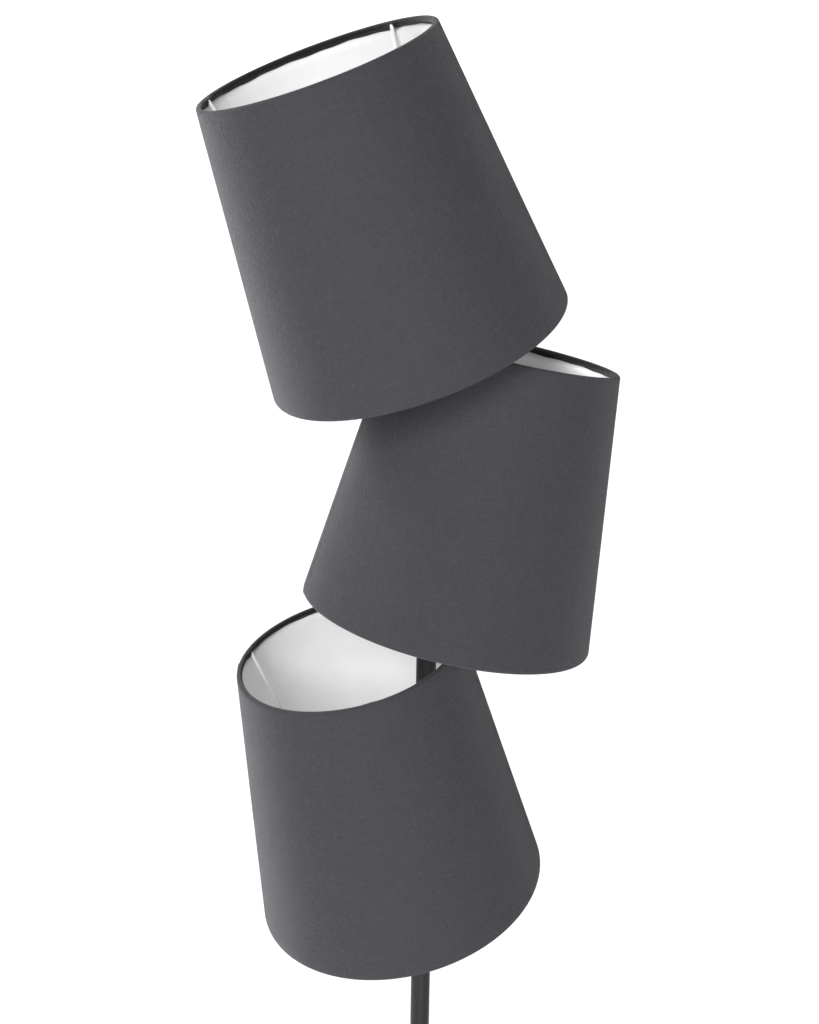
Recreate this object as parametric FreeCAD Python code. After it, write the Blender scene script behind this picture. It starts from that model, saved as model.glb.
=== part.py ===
import FreeCAD, Part
import math
import os

from FreeCAD import Vector

# Floor lamp with three tilted drum shades stacked round one vertical pole.
# Millimetres and degrees. Origin: centre of the base's underside, on the floor. +Z is up.
# The shades lie in the XZ plane: upper and lower on the -X side, the middle one on the +X side.
# The hem of each shade takes the most skill: the cover turns over the wire ring, tucks in over
# the liner and is notched where each wire of the spider comes out.

# ---- shade: a fabric cover on film, with a white liner inside ----
SHADE_HEIGHT = 260.0
SHADE_TOP_D = 210.0
SHADE_BOTTOM_D = 275.0
COVER_T = 0.8
LINER_T = 0.5
SKIN_GAP = 0.15          # between cover, liner and the tucked edge
RING_WIRE_D = 3.0
RING_GAP = 0.3           # between a wire ring and the hem round it
HEM_TUCK = 7.0           # how far the hem turns down inside
LINER_INSET = 3.5        # the liner ends this far short of each hem's wire

# ---- where each shade sits: offset of its centre from the pole, height, lean and turn ----
UPPER_OFFSET = 61.5
UPPER_HEIGHT = 1440.0
UPPER_LEAN_ANGLE = 21.9
UPPER_WIRE_ANGLE = 24.0
MIDDLE_OFFSET = 48.0
MIDDLE_NEST = 0.5        # the middle shade's centre is a shade's height less this under the upper one's
MIDDLE_LEAN_ANGLE = 12.75
MIDDLE_WIRE_ANGLE = 20.0
LOWER_OFFSET = 51.0
LOWER_SPREAD = 8.5       # the lower shade's centre is a shade's height and this under the middle one's
LOWER_LEAN_ANGLE = 12.75
LOWER_WIRE_ANGLE = 18.0

# ---- spider: three wires from the top ring down to a hub ring deep in the shade ----
SPIDER_WIRES = 3
SPIDER_WIRE_D = 3.2
WIRE_LEAN_ANGLE = 14.5   # of the long leg from the shade's axis
KNEE_RISE = 14.0         # height of the knee over the hub
KNEE_BEND_R = 11.0
HUB_UNDER_CENTRE = 35.0  # the hub lies this far under the shade's middle, along its axis
HUB_T = 3.0
HUB_WALL = 4.8
WIRE_SEAT = 0.1          # gap from a wire's end to the ring that it is spot-welded to
NOTCH_W = 9.0            # opening in the tucked edge round each wire
NOTCH_TIP_W = 4.6

# ---- lampholder for a small screw cap ----
HOLDER_THREAD_D = 28.0
HOLDER_FLANGE_D = 36.0
HOLDER_FLANGE_T = 2.2
HOLDER_MOUTH = 8.0       # height of the mouth over the hub
HOLDER_BODY_D = 27.0
HOLDER_BODY_L = 20.0
HOLDER_SPIGOT_D = 24.0
HOLDER_SPIGOT_L = 12.0
HOLDER_BORE_D = 16.0
HOLDER_BORE_DEPTH = 29.0
THREAD_CLEARANCE = 0.15
SLEEVE_T = 0.5
SLEEVE_L = 21.0
SLEEVE_GAP = 0.1
CAP_D = 28.4
CAP_LIP_GAP = 0.3
CAP_L = 19.0
CAP_DOME = 5.0
CAP_BOSS_D = 15.0
CAP_BOSS_L = 5.0
CAP_WALL = 2.0
CAP_SPIGOT_GAP = 0.2
CAP_CORNER = 2.5         # slope inside the cap's dome
NUT_D = 39.0
NUT_T = 6.0
NUT_GRIPS = 14
NUT_GRIP_D = 3.4
NUT_GRIP_DEPTH = 0.85

# ---- golf-ball bulb ----
BULB_D = 45.0
BULB_L = 78.0
BULB_CAP_D = 13.9
BULB_COLLAR_D = 15.0
BULB_COLLAR_H = 3.6
BULB_COLLAR_RISE = 0.6   # the bulb's metal collar stands this much out of the mouth
BULB_CONTACT_D = 6.0
BULB_CONTACT_H = 2.0
BULB_NECK_D = 14.0
BULB_GLASS_T = 0.8
BULB_TIP_GAP = 0.3

# ---- arm and swivel collar ----
ARM_D = 10.0
ARM_BORE_D = 7.0
ARM_BEND_R = 14.0
ARM_SOCKET = 6.0         # length of arm inside the lampholder's cap
COLLAR_D = 25.0
COLLAR_H = 18.0
COLLAR_EDGE_R = 1.5
SWIVEL_CLEARANCE = 0.05  # radial, collar on pole
SEAT_GAP = 0.2           # collar over its seat ring
BOSS_D = 15.0
BOSS_REACH = 1.6
ARM_FIT = 0.05
SEAT_RING_H = 4.0
SEAT_RING_EDGE = 0.5
SCREW_D = 4.0
SCREW_KEY = 2.0          # across the flats of the key socket
SCREW_KEY_DEPTH = 1.7
SCREW_EDGE = 0.5
SCREW_STANDOUT = 0.4

# ---- pole ----
POLE_D = 19.0
POLE_WALL = 1.2
JOINT_OVER_COLLAR = 100.0  # the upper joint lies this far over the lowest collar's middle
POLE_TOP_REACH = 7.0     # pole above the top collar
POLE_PLUG_FIT = 0.05
JOINER_L = 60.0
JOINER_BORE_D = 11.0
FOOT_L = 32.0
PLUG_EDGE = 1.0
POLE_CAP_H = 3.0
POLE_CAP_ROUND = 1.5
POLE_CAP_PLUG_L = 8.0
WINDOW_H = 7.0           # cable window in the pole behind each collar
WINDOW_W = 12.0

# ---- base ----
BASE_D = 290.0
BASE_H = 25.0
BASE_EDGE_R = 10.0
BASE_EDGE_DROP = 3.0     # the top falls this much from its centre land to the rounded edge
BASE_LAND_D = 60.0
BASE_WALL = 1.2
BASE_LIFT = 1.0          # the cover's edge stays off the floor
PAD_INSET = 6.0          # from the cover's rim in to the felt pad's edge
PAD_T = 2.5
WEIGHT_GAP = 3.8         # between the cover's wall and the cast weight
WEIGHT_T = 11.0
WEIGHT_EDGE = 4.0
WEIGHT_FOOT_EDGE = 2.0
WEIGHT_BOSS_D = 54.0
STUD_D = 10.0
STUD_BORE_D = 7.0
STUD_CLEARANCE = 0.3
STUD_REACH = 22.0        # stud inside the pole's foot
NUT_POCKET_D = 30.0
NUT_POCKET_DEPTH = 7.0
BASE_WASHER_D = 24.0
BASE_WASHER_T = 1.5
BASE_NUT_AF = 17.0
BASE_NUT_T = 4.6
FLANGE_D = 46.0
FLANGE_RIM_H = 2.0
FLANGE_COVE_R = 8.0
FLANGE_LIP = 2.0
FLANGE_FIT = 0.1
CORD_BORE_D = 6.6
CORD_HEIGHT = 7.0
BUSH_NECK_D = 8.6
BUSH_FLANGE_D = 10.4
BUSH_FLANGE_T = 1.6
BUSH_INNER_T = 0.8
BUSH_GAP = 0.1
CHANNEL_W = 9.0

X_AXIS = Vector(1, 0, 0)
Y_AXIS = Vector(0, 1, 0)
Z_AXIS = Vector(0, 0, 1)
ORIGIN = Vector(0, 0, 0)
OUT, IN, UP, DOWN = (1, 0), (-1, 0), (0, 1), (0, -1)   # directions in a turned outline
SAME_PLACE = 1e-6

# ---- derived sizes ----
POLE_R = POLE_D / 2
PLUG_R = POLE_R - POLE_WALL - POLE_PLUG_FIT
WALL_ANGLE = math.atan2((SHADE_BOTTOM_D - SHADE_TOP_D) / 2, SHADE_HEIGHT)
HEM_R = RING_WIRE_D / 2 + RING_GAP
BEAD_R = HEM_R + COVER_T
# the tucked edge's hidden face leaves the hem's turn at a tangent and ends over the liner
TUCK_ALONG = HEM_TUCK
TUCK_INWARD = COVER_T + LINER_T + 2 * SKIN_GAP - BEAD_R
TUCK_ANGLE = (math.atan2(TUCK_INWARD, TUCK_ALONG)
              + math.acos(HEM_R / math.hypot(TUCK_INWARD, TUCK_ALONG)))
HUB_R = HOLDER_THREAD_D / 2 + THREAD_CLEARANCE
CAP_TOP = -HUB_T / 2 - HOLDER_FLANGE_T - HOLDER_BODY_L - CAP_LIP_GAP
CAP_BOTTOM = CAP_TOP - CAP_L - CAP_DOME - CAP_BOSS_L
BULB_FOOT = HOLDER_MOUTH - HOLDER_BORE_DEPTH + BULB_TIP_GAP
BULB_SEAT = HOLDER_MOUTH + BULB_COLLAR_RISE
PAD_R = BASE_D / 2 - PAD_INSET
WEIGHT_R = BASE_D / 2 - BASE_WALL - WEIGHT_GAP
WASHER_TOP = PAD_T + NUT_POCKET_DEPTH


def outline(*steps):
    """A closed wire in the XZ plane. A step is a point, or a (middle, end) pair for an arc."""
    start = Vector(steps[0][0], 0, steps[0][1])
    here = start
    edges = []
    for step in steps[1:] + (steps[0],):
        if isinstance(step[0], tuple):
            middle = Vector(step[0][0], 0, step[0][1])
            end = Vector(step[1][0], 0, step[1][1])
            edges.append(Part.Arc(here, middle, end).toShape())
        else:
            end = Vector(step[0], 0, step[1])
            if here.distanceToPoint(end) < SAME_PLACE:
                continue
            edges.append(Part.LineSegment(here, end).toShape())
        here = end
    return Part.Wire(edges)


def turned(*steps):
    """A solid of revolution about Z from an outline of (radius, height) steps."""
    return Part.Face(outline(*steps)).revolve(ORIGIN, Z_AXIS, 360)


def rounded(corner, radius, came, goes):
    """The two steps that round a square corner of an outline, from the directions in and out of it."""
    start = (corner[0] - radius * came[0], corner[1] - radius * came[1])
    end = (corner[0] + radius * goes[0], corner[1] + radius * goes[1])
    reach = radius * (1 - math.sqrt(0.5))
    middle = (corner[0] + reach * (goes[0] - came[0]), corner[1] + reach * (goes[1] - came[1]))
    return start, (middle, end)


def tube(outer_r, inner_r, low, high):
    wall = Part.makeCylinder(outer_r, high - low, Vector(0, 0, low))
    return wall.cut(Part.makeCylinder(inner_r, high - low, Vector(0, 0, low)))


def plug(outer_r, inner_r, low, high, edge):
    """A hollow plug with both outer edges chamfered."""
    return turned((inner_r, low), (outer_r - edge, low), (outer_r, low + edge),
                  (outer_r, high - edge), (outer_r - edge, high), (inner_r, high))


def hexagon(across_flats, low, high):
    corner_r = across_flats / math.sqrt(3)
    corners = [Vector(corner_r * math.cos(math.radians(60 * i)),
                      corner_r * math.sin(math.radians(60 * i)), low) for i in range(7)]
    return Part.Face(Part.makePolygon(corners)).extrude(Vector(0, 0, high - low))


def bent_rod(start, corner, end, bend_r, rod_r):
    """A round rod along two straight legs in the XZ plane, joined by a tangent bend."""
    leg_in = (start - corner).normalize()
    leg_out = (end - corner).normalize()
    between = leg_in.getAngle(leg_out)
    tangent = bend_r / math.tan(between / 2)
    bend_start = corner + leg_in * tangent
    bend_end = corner + leg_out * tangent
    inward = (leg_in + leg_out).normalize()
    centre = corner + inward * (bend_r / math.sin(between / 2))
    bend_middle = centre - inward * bend_r
    path = Part.Wire([Part.LineSegment(start, bend_start).toShape(),
                      Part.Arc(bend_start, bend_middle, bend_end).toShape(),
                      Part.LineSegment(bend_end, end).toShape()])
    section = Part.Wire(Part.makeCircle(rod_r, start, leg_in))
    return path.makePipeShell([section], True, True)


def wall_point(along, inward):
    """(radius, height over the bottom edge) from a distance up the wall and one in from it."""
    radius = SHADE_BOTTOM_D / 2 - along * math.sin(WALL_ANGLE) - inward * math.cos(WALL_ANGLE)
    height = along * math.cos(WALL_ANGLE) - inward * math.sin(WALL_ANGLE)
    return radius, height


# distances up the wall at which the two wire rings lie, so that the hems end at the shade's height
LOW_RING = BEAD_R * (1 + math.sin(WALL_ANGLE)) / math.cos(WALL_ANGLE)
HIGH_RING = (SHADE_HEIGHT - BEAD_R * (1 - math.sin(WALL_ANGLE))) / math.cos(WALL_ANGLE)
TO_HUB = HUB_UNDER_CENTRE - SHADE_HEIGHT / 2


def from_hub(shape):
    """Moves a shape built from the shade's bottom edge so that the hub's centre is the origin."""
    shape.translate(Vector(0, 0, TO_HUB))
    return shape


def notch(angle):
    """The V cut in the tucked top edge round one spider wire, narrow end up."""
    top_r, top_z = wall_point(HIGH_RING, BEAD_R)
    low_z = top_z - HEM_TUCK - COVER_T
    near = top_r - 2 * BEAD_R
    corners = [Vector(near, -NOTCH_TIP_W / 2, top_z), Vector(near, NOTCH_TIP_W / 2, top_z),
               Vector(near, NOTCH_W / 2, low_z), Vector(near, -NOTCH_W / 2, low_z)]
    vee = Part.Face(Part.makePolygon(corners + corners[:1])).extrude(Vector(top_r - near, 0, 0))
    vee.rotate(ORIGIN, Z_AXIS, angle)
    return vee


def hem(ring, way, radius):
    """One face of a hem: wall side, turn round the wire, end of the tucked edge. way is 1 at the top."""
    def at(along, inward):
        return wall_point(ring - way * along, BEAD_R + inward)

    def on_turn(angle):
        return at(radius * math.cos(angle), radius * math.sin(angle))

    back = TUCK_ANGLE / 2 - math.radians(225)      # halfway from the wall side to the tuck
    lift = radius - HEM_R
    end = at(TUCK_ALONG + lift * math.cos(TUCK_ANGLE), TUCK_INWARD + lift * math.sin(TUCK_ANGLE))
    return on_turn(math.radians(-90)), (on_turn(back), on_turn(TUCK_ANGLE)), end


def backwards(face):
    wall, (middle, leave), end = face
    return end, leave, (middle, wall)


def shade_cover(wire_angle):
    """One sheet: up the wall, over the top wire and in, and likewise round the bottom wire."""
    body = turned(*hem(HIGH_RING, 1, BEAD_R), *backwards(hem(HIGH_RING, 1, HEM_R)),
                  *hem(LOW_RING, -1, HEM_R), *backwards(hem(LOW_RING, -1, BEAD_R)))
    for i in range(SPIDER_WIRES):
        body = body.cut(notch(wire_angle + 360 / SPIDER_WIRES * i))
    return from_hub(body)


def shade_liner():
    near = COVER_T + SKIN_GAP
    low = LOW_RING + LINER_INSET
    high = HIGH_RING - LINER_INSET
    return from_hub(turned(wall_point(low, near), wall_point(high, near),
                           wall_point(high, near + LINER_T), wall_point(low, near + LINER_T)))


def wire_ring(along):
    radius, height = wall_point(along, BEAD_R)
    return from_hub(Part.makeTorus(radius, RING_WIRE_D / 2, Vector(0, 0, height)))


def spider(wire_angle):
    """Three bent wires and the hub ring that they are welded to."""
    ring_r, ring_z = wall_point(HIGH_RING, BEAD_R)
    top = ring_r - RING_WIRE_D / 2 - WIRE_SEAT - SPIDER_WIRE_D / 2
    start = Vector(top, 0, ring_z + TO_HUB)
    knee_r = top - (start.z - KNEE_RISE) * math.tan(math.radians(WIRE_LEAN_ANGLE))
    knee = Vector(knee_r, 0, KNEE_RISE)
    end = Vector(HUB_R + HUB_WALL / 2, 0, 0)
    frame = tube(HUB_R + HUB_WALL, HUB_R, -HUB_T / 2, HUB_T / 2)
    for i in range(SPIDER_WIRES):
        wire = bent_rod(start, knee, end, KNEE_BEND_R, SPIDER_WIRE_D / 2)
        wire.rotate(ORIGIN, Z_AXIS, wire_angle + 360 / SPIDER_WIRES * i)
        frame = frame.fuse(wire)
    # the wires end level with the hub's faces, so that the ring nut and flange seat flat on it
    seat_r = NUT_D / 2 + THREAD_CLEARANCE
    bore = Part.makeCylinder(HUB_R, 2 * NUT_T, Vector(0, 0, -NUT_T))
    over = Part.makeCylinder(seat_r, NUT_T, Vector(0, 0, HUB_T / 2))
    under = Part.makeCylinder(seat_r, NUT_T, Vector(0, 0, -HUB_T / 2 - NUT_T))
    return frame.cut(bore).cut(over).cut(under).removeSplitter()


def holder_body():
    flange = -HUB_T / 2
    under = flange - HOLDER_FLANGE_T
    shoulder = under - HOLDER_BODY_L
    foot = shoulder - HOLDER_SPIGOT_L
    bore = HOLDER_MOUTH - HOLDER_BORE_DEPTH
    thread_r = HOLDER_THREAD_D / 2
    return turned((HOLDER_BORE_D / 2, HOLDER_MOUTH), (thread_r - PLUG_EDGE, HOLDER_MOUTH),
                  (thread_r, HOLDER_MOUTH - PLUG_EDGE), (thread_r, flange),
                  (HOLDER_FLANGE_D / 2, flange), (HOLDER_FLANGE_D / 2, under),
                  (HOLDER_BODY_D / 2, under), (HOLDER_BODY_D / 2, shoulder),
                  (HOLDER_SPIGOT_D / 2, shoulder), (HOLDER_SPIGOT_D / 2, foot),
                  (0, foot), (0, bore), (HOLDER_BORE_D / 2, bore))


def thread_sleeve():
    outer = HOLDER_BORE_D / 2 - SLEEVE_GAP
    low = HOLDER_MOUTH - HOLDER_BORE_DEPTH
    return tube(outer, outer - SLEEVE_T, low, low + SLEEVE_L)


def holder_cap():
    shell = CAP_D / 2
    dome_low = CAP_TOP - CAP_L - CAP_DOME
    cavity = HOLDER_SPIGOT_D / 2 + CAP_SPIGOT_GAP
    hole = ARM_D / 2 + ARM_FIT
    return turned((cavity, CAP_TOP), (shell, CAP_TOP),
                  *rounded((shell, dome_low), CAP_DOME, DOWN, IN),
                  (CAP_BOSS_D / 2, dome_low), (CAP_BOSS_D / 2, CAP_BOTTOM), (hole, CAP_BOTTOM),
                  (hole, dome_low + CAP_WALL), (cavity, dome_low + CAP_WALL + CAP_CORNER))


def shade_nut():
    low = HUB_T / 2
    nut = tube(NUT_D / 2, HUB_R, low, low + NUT_T)
    grip_x = NUT_D / 2 + NUT_GRIP_D / 2 - NUT_GRIP_DEPTH
    grip = Part.makeCylinder(NUT_GRIP_D / 2, NUT_T, Vector(grip_x, 0, low))
    for i in range(NUT_GRIPS):
        groove = grip.copy()
        groove.rotate(ORIGIN, Z_AXIS, 360 / NUT_GRIPS * i)
        nut = nut.cut(groove)
    return nut


def bulb_cap():
    contact = BULB_FOOT + BULB_CONTACT_H
    collar = BULB_SEAT - BULB_COLLAR_H
    return turned((0, BULB_FOOT), (BULB_CONTACT_D / 2, BULB_FOOT), (BULB_CAP_D / 2, contact),
                  (BULB_CAP_D / 2, collar), (BULB_COLLAR_D / 2, collar),
                  (BULB_COLLAR_D / 2, BULB_SEAT), (0, BULB_SEAT))


def bulb_glass():
    """A thin glass ball on a neck, open where the neck stands on the metal cap."""
    outer = BULB_D / 2
    top = BULB_FOOT + BULB_L
    centre = top - outer
    inner = outer - BULB_GLASS_T
    neck = BULB_NECK_D / 2
    # the ball meets the neck's cone where the line from its foot touches the ball
    reach = centre - BULB_SEAT
    tip = math.hypot(reach, neck)
    touch = math.atan2(reach, neck) - math.acos(outer / tip)
    side = (outer * math.cos(touch), centre - outer * math.sin(touch))
    side_in = (inner * math.cos(touch), centre - inner * math.sin(touch))
    lean = math.pi / 4 - touch / 2
    return turned((neck, BULB_SEAT), side,
                  ((outer * math.cos(lean), centre + outer * math.sin(lean)), (0, top)),
                  (0, top - BULB_GLASS_T),
                  ((inner * math.cos(lean), centre + inner * math.sin(lean)), side_in),
                  (neck - BULB_GLASS_T, BULB_SEAT))


def in_head(shape, head):
    """Places a shape built about the hub into its head, and turns the head round the pole."""
    shape.rotate(ORIGIN, Y_AXIS, -head["lean"])
    shape.translate(head["hub"])
    shape.rotate(ORIGIN, Z_AXIS, head["turn"])
    return shape


def round_pole(shape, head):
    """Turns a shape built beside the pole to its head's side."""
    shape.rotate(ORIGIN, Z_AXIS, head["turn"])
    return shape


def head_layout(offset, height, lean, turn, wire_angle):
    """Hub, and the corner where the shade's axis meets the arm's level run to the collar."""
    tilt = math.radians(lean)
    up = Vector(-math.sin(tilt), 0, math.cos(tilt))
    hub = Vector(-offset, 0, height) - up * HUB_UNDER_CENTRE
    tangent = ARM_BEND_R * math.tan(math.radians(90 - lean) / 2)
    corner_x = -(COLLAR_D / 2 + BOSS_REACH + tangent)
    down = (corner_x - hub.x) / math.sin(tilt)
    corner = hub - up * down
    return {"hub": hub, "up": up, "lean": lean, "turn": turn, "wire_angle": wire_angle,
            "corner": corner}


def arm(head):
    start = head["hub"] + head["up"] * (CAP_BOTTOM + ARM_SOCKET)
    end = Vector(-(POLE_R + SWIVEL_CLEARANCE + POLE_WALL), 0, head["corner"].z)
    rod = bent_rod(start, head["corner"], end, ARM_BEND_R, ARM_D / 2)
    bore = bent_rod(start, head["corner"], end, ARM_BEND_R, ARM_BORE_D / 2)
    return round_pole(rod.cut(bore), head)


def collar(head):
    """The swivel collar: a ring on the pole with a boss for the arm and a clamping screw."""
    level = head["corner"].z
    outer = COLLAR_D / 2
    low = level - COLLAR_H / 2
    high = level + COLLAR_H / 2
    ring = turned((POLE_R, low), *rounded((outer, low), COLLAR_EDGE_R, OUT, UP),
                  *rounded((outer, high), COLLAR_EDGE_R, UP, IN), (POLE_R, high))
    boss = Part.makeCylinder(BOSS_D / 2, outer + BOSS_REACH, Vector(0, 0, level), -X_AXIS)
    body = ring.fuse(boss)
    body = body.cut(Part.makeCylinder(POLE_R + SWIVEL_CLEARANCE, COLLAR_H, Vector(0, 0, low)))
    body = body.cut(Part.makeCylinder(ARM_D / 2 + ARM_FIT, COLLAR_D, Vector(0, 0, level), -X_AXIS))
    hole = Part.makeCylinder(SCREW_D / 2 + ARM_FIT, COLLAR_D, Vector(0, 0, level), Y_AXIS)
    return round_pole(body.cut(hole).removeSplitter(), head)


def collar_screw(head):
    length = COLLAR_D / 2 - POLE_R - SWIVEL_CLEARANCE + SCREW_STANDOUT
    side = SCREW_D / 2
    screw = turned((0, 0), (side - SCREW_EDGE, 0), (side, SCREW_EDGE),
                   (side, length - SCREW_EDGE), (side - SCREW_EDGE, length), (0, length))
    screw = screw.cut(hexagon(SCREW_KEY, length - SCREW_KEY_DEPTH, length))
    screw.rotate(ORIGIN, X_AXIS, -90)
    screw.translate(Vector(0, POLE_R + SWIVEL_CLEARANCE, head["corner"].z))
    return round_pole(screw, head)


def seat_ring(head):
    top = head["corner"].z - COLLAR_H / 2 - SEAT_GAP
    return plug(COLLAR_D / 2, POLE_R + POLE_PLUG_FIT, top - SEAT_RING_H, top, SEAT_RING_EDGE)


def pole_section(low, high, heads):
    """One length of pole, with a cable window where a collar lies on it."""
    body = tube(POLE_R, POLE_R - POLE_WALL, low, high)
    for head in heads:
        level = head["corner"].z
        if low < level < high:
            window = Part.makeBox(POLE_R, WINDOW_W, WINDOW_H,
                                  Vector(-POLE_R - POLE_WALL, -WINDOW_W / 2, level - WINDOW_H / 2))
            body = body.cut(round_pole(window, head))
    return body


def pole_joiner(level):
    """The hollow plug inside a joint between two lengths of pole."""
    half = JOINER_L / 2
    return plug(PLUG_R, JOINER_BORE_D / 2, level - half, level + half, PLUG_EDGE)


def base_cover():
    """The pressed steel cover: a low land in the middle, a falling top and a rounded edge."""
    outer = BASE_D / 2
    inner = outer - BASE_WALL
    bore = STUD_D / 2 + STUD_CLEARANCE
    land = BASE_LAND_D / 2
    fall = BASE_H - BASE_EDGE_DROP
    under = BASE_H - BASE_WALL
    cover = turned((outer, BASE_LIFT), *rounded((outer, fall), BASE_EDGE_R, UP, IN),
                   (land, BASE_H), (bore, BASE_H), (bore, under), (land, under),
                   *rounded((inner, fall - BASE_WALL), BASE_EDGE_R - BASE_WALL, OUT, DOWN),
                   (inner, BASE_LIFT))
    hole = Part.makeCylinder(BUSH_NECK_D / 2 + BUSH_GAP, BASE_D, Vector(0, 0, CORD_HEIGHT), Y_AXIS)
    return cover.cut(hole)


def base_weight():
    """The cast disc: a raised middle, a chamfered edge, a nut pocket and a cord channel."""
    top = PAD_T + WEIGHT_T
    boss_top = BASE_H - BASE_WALL
    outer = WEIGHT_R
    boss = WEIGHT_BOSS_D / 2
    bore = STUD_D / 2 + STUD_CLEARANCE
    body = turned((bore, WASHER_TOP), (NUT_POCKET_D / 2, WASHER_TOP), (NUT_POCKET_D / 2, PAD_T),
                  (outer - WEIGHT_FOOT_EDGE, PAD_T), (outer, PAD_T + WEIGHT_FOOT_EDGE),
                  (outer, top - WEIGHT_EDGE), (outer - WEIGHT_EDGE, top),
                  (boss + WEIGHT_EDGE, top), (boss, boss_top), (bore, boss_top))
    channel_top = CORD_HEIGHT + CHANNEL_W / 2
    channel = Part.makeBox(CHANNEL_W, WEIGHT_R, channel_top, Vector(-CHANNEL_W / 2, bore, 0))
    return body.cut(channel)


def base_stud():
    return tube(STUD_D / 2, STUD_BORE_D / 2, WASHER_TOP - BASE_WASHER_T - BASE_NUT_T,
                BASE_H + STUD_REACH)


def base_nut():
    top = WASHER_TOP - BASE_WASHER_T
    nut = hexagon(BASE_NUT_AF, top - BASE_NUT_T, top)
    return nut.cut(Part.makeCylinder(STUD_D / 2 + ARM_FIT, BASE_NUT_T,
                                     Vector(0, 0, top - BASE_NUT_T)))


def cord_bush():
    """A rubber bush in the cover's wall, flanged on both sides of it."""
    wall_out = BASE_D / 2
    wall_in = wall_out - BASE_WALL
    flange = BUSH_FLANGE_D / 2
    neck = BUSH_NECK_D / 2
    bore = CORD_BORE_D / 2
    sag = wall_in - math.sqrt(wall_in ** 2 - flange ** 2)
    back = wall_in - sag - BUSH_GAP
    front = wall_out + BUSH_GAP
    bush = turned((bore, back - BUSH_INNER_T), (flange, back - BUSH_INNER_T), (flange, back),
                  (neck, back), (neck, front), (flange, front),
                  *rounded((flange, front + BUSH_FLANGE_T), BUSH_FLANGE_T, UP, IN),
                  (bore, front + BUSH_FLANGE_T))
    bush.rotate(ORIGIN, X_AXIS, -90)
    bush.translate(Vector(0, 0, CORD_HEIGHT))
    return bush


def pole_flange():
    """The coved trim that hides the pole's joint with the base."""
    bore = POLE_R + FLANGE_FIT
    outer = FLANGE_D / 2
    rim = BASE_H + FLANGE_RIM_H
    return turned((bore, BASE_H), (outer, BASE_H), (outer, rim),
                  *rounded((bore + FLANGE_LIP, rim), FLANGE_COVE_R, IN, UP),
                  (bore, rim + FLANGE_COVE_R))


def pole_cap(top):
    return turned((0, top - POLE_CAP_PLUG_L), (PLUG_R, top - POLE_CAP_PLUG_L), (PLUG_R, top),
                  (POLE_R, top), *rounded((POLE_R, top + POLE_CAP_H), POLE_CAP_ROUND, UP, IN),
                  (0, top + POLE_CAP_H))


def main():
    os.makedirs("parts", exist_ok=True)
    middle_height = UPPER_HEIGHT - SHADE_HEIGHT + MIDDLE_NEST
    lower_height = middle_height - SHADE_HEIGHT - LOWER_SPREAD
    heads = {
        "upper": head_layout(UPPER_OFFSET, UPPER_HEIGHT, UPPER_LEAN_ANGLE, 0, UPPER_WIRE_ANGLE),
        "middle": head_layout(MIDDLE_OFFSET, middle_height, MIDDLE_LEAN_ANGLE, 180, MIDDLE_WIRE_ANGLE),
        "lower": head_layout(LOWER_OFFSET, lower_height, LOWER_LEAN_ANGLE, 0, LOWER_WIRE_ANGLE),
    }
    levels = list(heads.values())
    pole_top = heads["upper"]["corner"].z + COLLAR_H / 2 + POLE_TOP_REACH
    joint_high = heads["lower"]["corner"].z + JOINT_OVER_COLLAR
    joint_low = (BASE_H + joint_high) / 2
    nodes = {
        "base_pad": Part.makeCylinder(PAD_R, PAD_T),
        "base_weight": base_weight(),
        "base_cover": base_cover(),
        "base_washer": tube(BASE_WASHER_D / 2, STUD_D / 2 + STUD_CLEARANCE,
                            WASHER_TOP - BASE_WASHER_T, WASHER_TOP),
        "base_nut": base_nut(),
        "base_stud": base_stud(),
        "cord_bush": cord_bush(),
        "pole_flange": pole_flange(),
        "pole_foot": plug(PLUG_R, STUD_D / 2 + ARM_FIT, BASE_H, BASE_H + FOOT_L, PLUG_EDGE),
        "pole_bottom": pole_section(BASE_H, joint_low, levels),
        "pole_middle": pole_section(joint_low, joint_high, levels),
        "pole_top": pole_section(joint_high, pole_top, levels),
        "pole_joiner_low": pole_joiner(joint_low),
        "pole_joiner_high": pole_joiner(joint_high),
        "pole_cap": pole_cap(pole_top),
        "seat_rings": Part.makeCompound([seat_ring(head) for head in levels]),
    }
    for name, head in heads.items():
        nodes[name + "_collar"] = collar(head)
        nodes[name + "_collar_screw"] = collar_screw(head)
        nodes[name + "_arm"] = arm(head)
        pieces = {
            "holder_cap": holder_cap(),
            "holder_body": holder_body(),
            "thread_sleeve": thread_sleeve(),
            "shade_nut": shade_nut(),
            "spider": spider(head["wire_angle"]),
            "top_ring": wire_ring(HIGH_RING),
            "bottom_ring": wire_ring(LOW_RING),
            "shade_cover": shade_cover(head["wire_angle"]),
            "shade_liner": shade_liner(),
            "bulb_cap": bulb_cap(),
            "bulb_glass": bulb_glass(),
        }
        for piece, shape in pieces.items():
            nodes[name + "_" + piece] = in_head(shape, head)
        print(name, "collar level", round(head["corner"].z, 2),
              "arm corner", round(head["corner"].x, 2), "hub", head["hub"])
    for name, shape in nodes.items():
        if not shape.isValid() or shape.Volume <= 0:
            print("bad shape", name)
        shape.exportStep("parts/" + name + ".step")
    print(len(nodes), "nodes, pole top", round(pole_top, 2))


main()
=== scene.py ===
# %% [markdown]
# # A floor lamp with three tilted drum shades
#
# Three shades of charcoal cloth lean left, right and left again round one slim black pole. The
# lamp's construction is already made: this script takes it as a fixed frame and gives it its
# looks, which are woven cloth with rolled hems, white film, powder-coated steel and black plastic.
# All lengths are in metres. The lamp stands on the floor with its pole on the Z axis.

import math

import bmesh
import bpy
from mathutils import Matrix, Vector


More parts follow.
